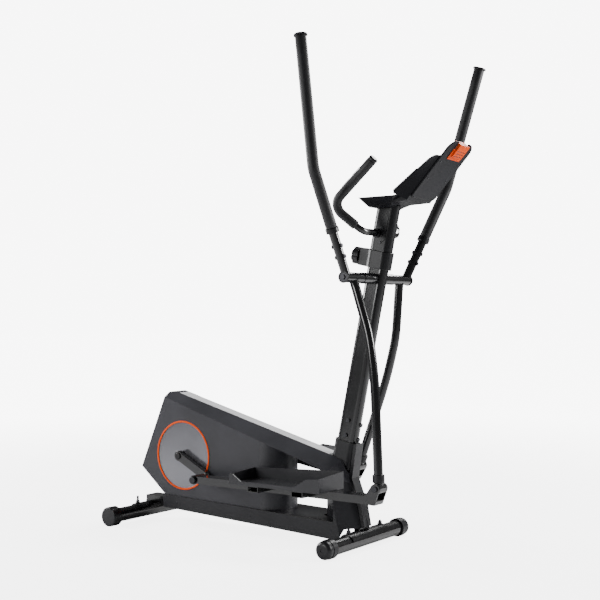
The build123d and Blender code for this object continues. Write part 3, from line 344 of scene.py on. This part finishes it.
# ---------------------------------------------------------------- foam grips
def start_mesh(name):
    """Name the new primitive and go into edit mode with all of it selected."""
    piece = bpy.context.active_object
    piece.name = name
    bpy.ops.object.mode_set(mode="EDIT")
    bpy.ops.mesh.select_all(action="SELECT")
    return piece


def end_mesh(piece):
    """Close the mesh, turn its faces outwards and put its place in its mesh."""
    bpy.ops.mesh.select_all(action="SELECT")
    bpy.ops.mesh.remove_doubles(threshold=0.00002)
    bpy.ops.mesh.normals_make_consistent(inside=False)
    bpy.ops.mesh.select_all(action="DESELECT")
    bpy.ops.object.mode_set(mode="OBJECT")
    bpy.ops.object.select_all(action="DESELECT")
    piece.select_set(True)
    bpy.ops.object.transform_apply(location=True, rotation=True, scale=True)
    bpy.ops.object.shade_smooth_by_angle(angle=radians(40))
    piece.select_set(False)


def push_ring(direction, distance):
    """Extrude the selected ring along a direction."""
    bpy.ops.mesh.extrude_region_move(TRANSFORM_OT_translate={"value": direction * distance})


def shrink_ring(centre, share):
    """Scale the selected ring about a point."""
    bpy.ops.transform.resize(value=(share, share, share), center_override=centre)


def foam_sleeve(name, start, knee, tip, bend, radius):
    """Foam sleeve along two straight runs and the arc between them."""
    first = (knee - start).normalized()
    second = (tip - knee).normalized()
    turn = first.angle(second)
    tangent = bend * tan(turn / 2)
    axis = first.cross(second).normalized()
    arc_start = knee - first * tangent
    centre = arc_start + axis.cross(first) * bend
    bpy.ops.object.select_all(action="DESELECT")
    facing = first.to_track_quat("Z", "Y").to_euler()
    bpy.ops.mesh.primitive_circle_add(vertices=40, radius=radius - RIM, location=start, rotation=facing)
    piece = start_mesh(name)
    bpy.ops.mesh.edge_face_add()
    push_ring(first, RIM * 0.3)
    shrink_ring(start + first * RIM * 0.3, (radius - RIM * 0.3) / (radius - RIM))
    push_ring(first, RIM * 0.7)
    shrink_ring(start + first * RIM, radius / (radius - RIM * 0.3))
    run = (arc_start - start).length - RIM
    steps = 6
    for _ in range(steps):
        push_ring(first, run / steps)
    bpy.ops.mesh.spin(steps=12, angle=-turn, center=centre, axis=axis)
    arc_end = knee + second * tangent
    run = (tip - arc_end).length - RIM
    for _ in range(steps):
        push_ring(second, run / steps)
    push_ring(second, RIM * 0.7)
    shrink_ring(tip - second * RIM * 0.3, (radius - RIM * 0.3) / radius)
    push_ring(second, RIM * 0.3)
    shrink_ring(tip, (radius - RIM) / (radius - RIM * 0.3))
    end_mesh(piece)
    piece.data.materials.append(FINISHES["grip_foam"])
    return piece


def mirrored(point):
    """The same point on the left side."""
    return Vector((point.x, -point.y, point.z))


def handle_grips():
    """The long foam grip of each moving handle."""
    for side, angle in REST_SWING.items():
        turn = Matrix.Rotation(angle, 4, "Y")
        points = []
        for point in (HANDLE_ROOT.lerp(HANDLE_KNEE, GRIP_SHARE), HANDLE_KNEE, HANDLE_TIP):
            local = point if side == "right" else mirrored(point)
            points.append(Vector((PIVOT.x, 0, PIVOT.z)) + turn @ local)
        grip = foam_sleeve(f"foam_grip_{side}", *points, HANDLE_BEND, HANDLE_GRIP_R)
        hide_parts(f"handle_grip_{side}")
        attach(grip, f"arm_{side}")


def bar_grips():
    """The foam grip of each half of the fixed handlebar."""
    corner = Vector((BAR_CENTRE_X, BAR_CORNER_Y, BAR_Z))
    knee = corner + BAR_TO_KNEE
    tip = corner + BAR_TO_TIP
    start = corner.lerp(knee, BAR_GRIP_SHARE)
    end = tip + (knee - tip).normalized() * 0.002
    right = (start, knee, end)
    routes = {"right": right, "left": [mirrored(point) for point in right]}
    for side, points in routes.items():
        grip = foam_sleeve(f"bar_grip_{side}", *points, BAR_BEND, BAR_GRIP_R)
        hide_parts("handlebar_grips")
        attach(grip, "column")


# ---------------------------------------------------------------- small details

def console_place(along, across, out):
    """Point at a distance along, across and out of the console's back."""
    run = Vector((cos(CONSOLE_TILT), 0, sin(CONSOLE_TILT)))
    rise = Vector((-sin(CONSOLE_TILT), 0, cos(CONSOLE_TILT)))
    return CONSOLE_FOOT + run * along + rise * out + Vector((0, across, 0))


def rounded_bar(name, place, tilt, size, rounding, finish, body):
    """Small bar with rounded edges, its length across the machine."""
    bpy.ops.object.select_all(action="DESELECT")
    bpy.ops.mesh.primitive_cube_add(size=1, location=place, rotation=(0, -tilt, 0))
    bar = bpy.context.active_object
    bar.scale = size
    bpy.ops.object.transform_apply(location=False, rotation=False, scale=True)
    bpy.ops.object.mode_set(mode="EDIT")
    bpy.ops.mesh.select_all(action="SELECT")
    bpy.ops.mesh.bevel(offset=rounding, segments=3)
    bpy.ops.object.mode_set(mode="OBJECT")
    bar = start_mesh(name)
    end_mesh(bar)
    bar.data.materials.append(FINISHES[finish])
    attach(bar, body)
    return bar


def groove_shade_bars():
    """Black bars across the foot of the tablet clip: painted shade that stands for its finger grooves."""
    for number, along in enumerate(GROOVE_SHADE_PLACES, 1):
        place = console_place(along, 0, CLIP_BACK)
        # each black bar is painted shade laid where a finger groove is, not a recess cut into the clip
        rounded_bar(f"clip_groove_shade_{number}", place, CONSOLE_TILT, GROOVE_SHADE_SIZE, GROOVE_SHADE_ROUNDING,
                    "black_plastic", "tablet_clip")


# ---------------------------------------------------------------- studio
def studio_floor():
    """Pale floor that brightens into the white walls with distance."""
    material, shader = new_material("pale_floor", (0.86, 0.86, 0.87), 0.6)
    shader.inputs["Emission Color"].default_value = (1, 1, 1, 1)
    place = material.node_tree.nodes.new("ShaderNodeTexCoord")
    reach = material.node_tree.nodes.new("ShaderNodeVectorMath")
    reach.operation = "LENGTH"
    link(material, place, "Object", reach, "Vector")
    fade = add_node(material, "ShaderNodeMapRange", From_Min=FLOOR_FADE[0], From_Max=FLOOR_FADE[1],
                    To_Min=FLOOR_GLOW, To_Max=WALL_GLOW)
    fade.interpolation_type = "SMOOTHSTEP"
    link(material, reach, "Value", fade, "Value")
    seen = material.node_tree.nodes.new("ShaderNodeLightPath")
    glow = material.node_tree.nodes.new("ShaderNodeMath")
    glow.operation = "MULTIPLY"
    material.node_tree.links.new(seen.outputs["Is Camera Ray"], glow.inputs[0])
    material.node_tree.links.new(fade.outputs["Result"], glow.inputs[1])
    link(material, glow, "Value", shader, "Emission Strength")
    vary_roughness(material, shader, object_noise(material, 2), 0.55, 0.7)
    bpy.ops.object.select_all(action="DESELECT")
    bpy.ops.mesh.primitive_plane_add(size=60)
    floor = bpy.context.active_object
    floor.name = "studio_floor"
    floor.data.materials.append(material)


def studio_light(name, place, aim, size, power):
    """Square soft light aimed at a point."""
    light = bpy.data.lights.new(name, "AREA")
    light.energy = power
    light.size = size
    lamp = bpy.data.objects.new(name, light)
    lamp.location = place
    direction = Vector(aim) - Vector(place)
    lamp.rotation_euler = direction.to_track_quat("-Z", "Y").to_euler()
    bpy.context.scene.collection.objects.link(lamp)


def studio_walls():
    """White all round: bright where it is seen, softer where it lights the machine."""
    world = bpy.data.worlds.new("studio_world")
    world.use_nodes = True
    nodes = world.node_tree.nodes
    nodes["Background"].inputs["Color"].default_value = (1, 1, 1, 1)
    seen = nodes.new("ShaderNodeLightPath")
    level = nodes.new("ShaderNodeMapRange")
    level.inputs["To Min"].default_value = WALL_LIGHT
    level.inputs["To Max"].default_value = WALL_GLOW
    world.node_tree.links.new(seen.outputs["Is Camera Ray"], level.inputs["Value"])
    world.node_tree.links.new(level.outputs["Result"], nodes["Background"].inputs["Strength"])
    bpy.context.scene.world = world


def studio():
    """White walls, pale floor and soft lamps."""
    studio_walls()
    studio_floor()
    studio_light("top_softbox", (0.2, 2.3, 2.9), (0, 0, 0.4), 1.5, 120)
    studio_light("near_softbox", (-0.9, -3.6, 1.3), (-0.2, 0, 0.5), 1.2, 48)
    studio_light("left_softbox", (-2.8, -0.9, 1.5), (0, 0, 0.7), 0.9, 75)
    studio_light("right_softbox", (2.7, 1.6, 1.6), (0, 0, 0.8), 0.8, 75)


def camera():
    """Camera at the height of a seated viewer, to the right of the machine's front."""
    data = bpy.data.cameras.new("camera")
    data.sensor_width = 36
    data.lens = CAMERA_LENS
    viewer = bpy.data.objects.new("camera", data)
    viewer.location = CAMERA_PLACE
    viewer.rotation_euler = CAMERA_TURN
    bpy.context.scene.collection.objects.link(viewer)
    bpy.context.scene.camera = viewer


dress_nodes()
soften_all()
handle_grips()
bar_grips()
groove_shade_bars()
studio()
camera()
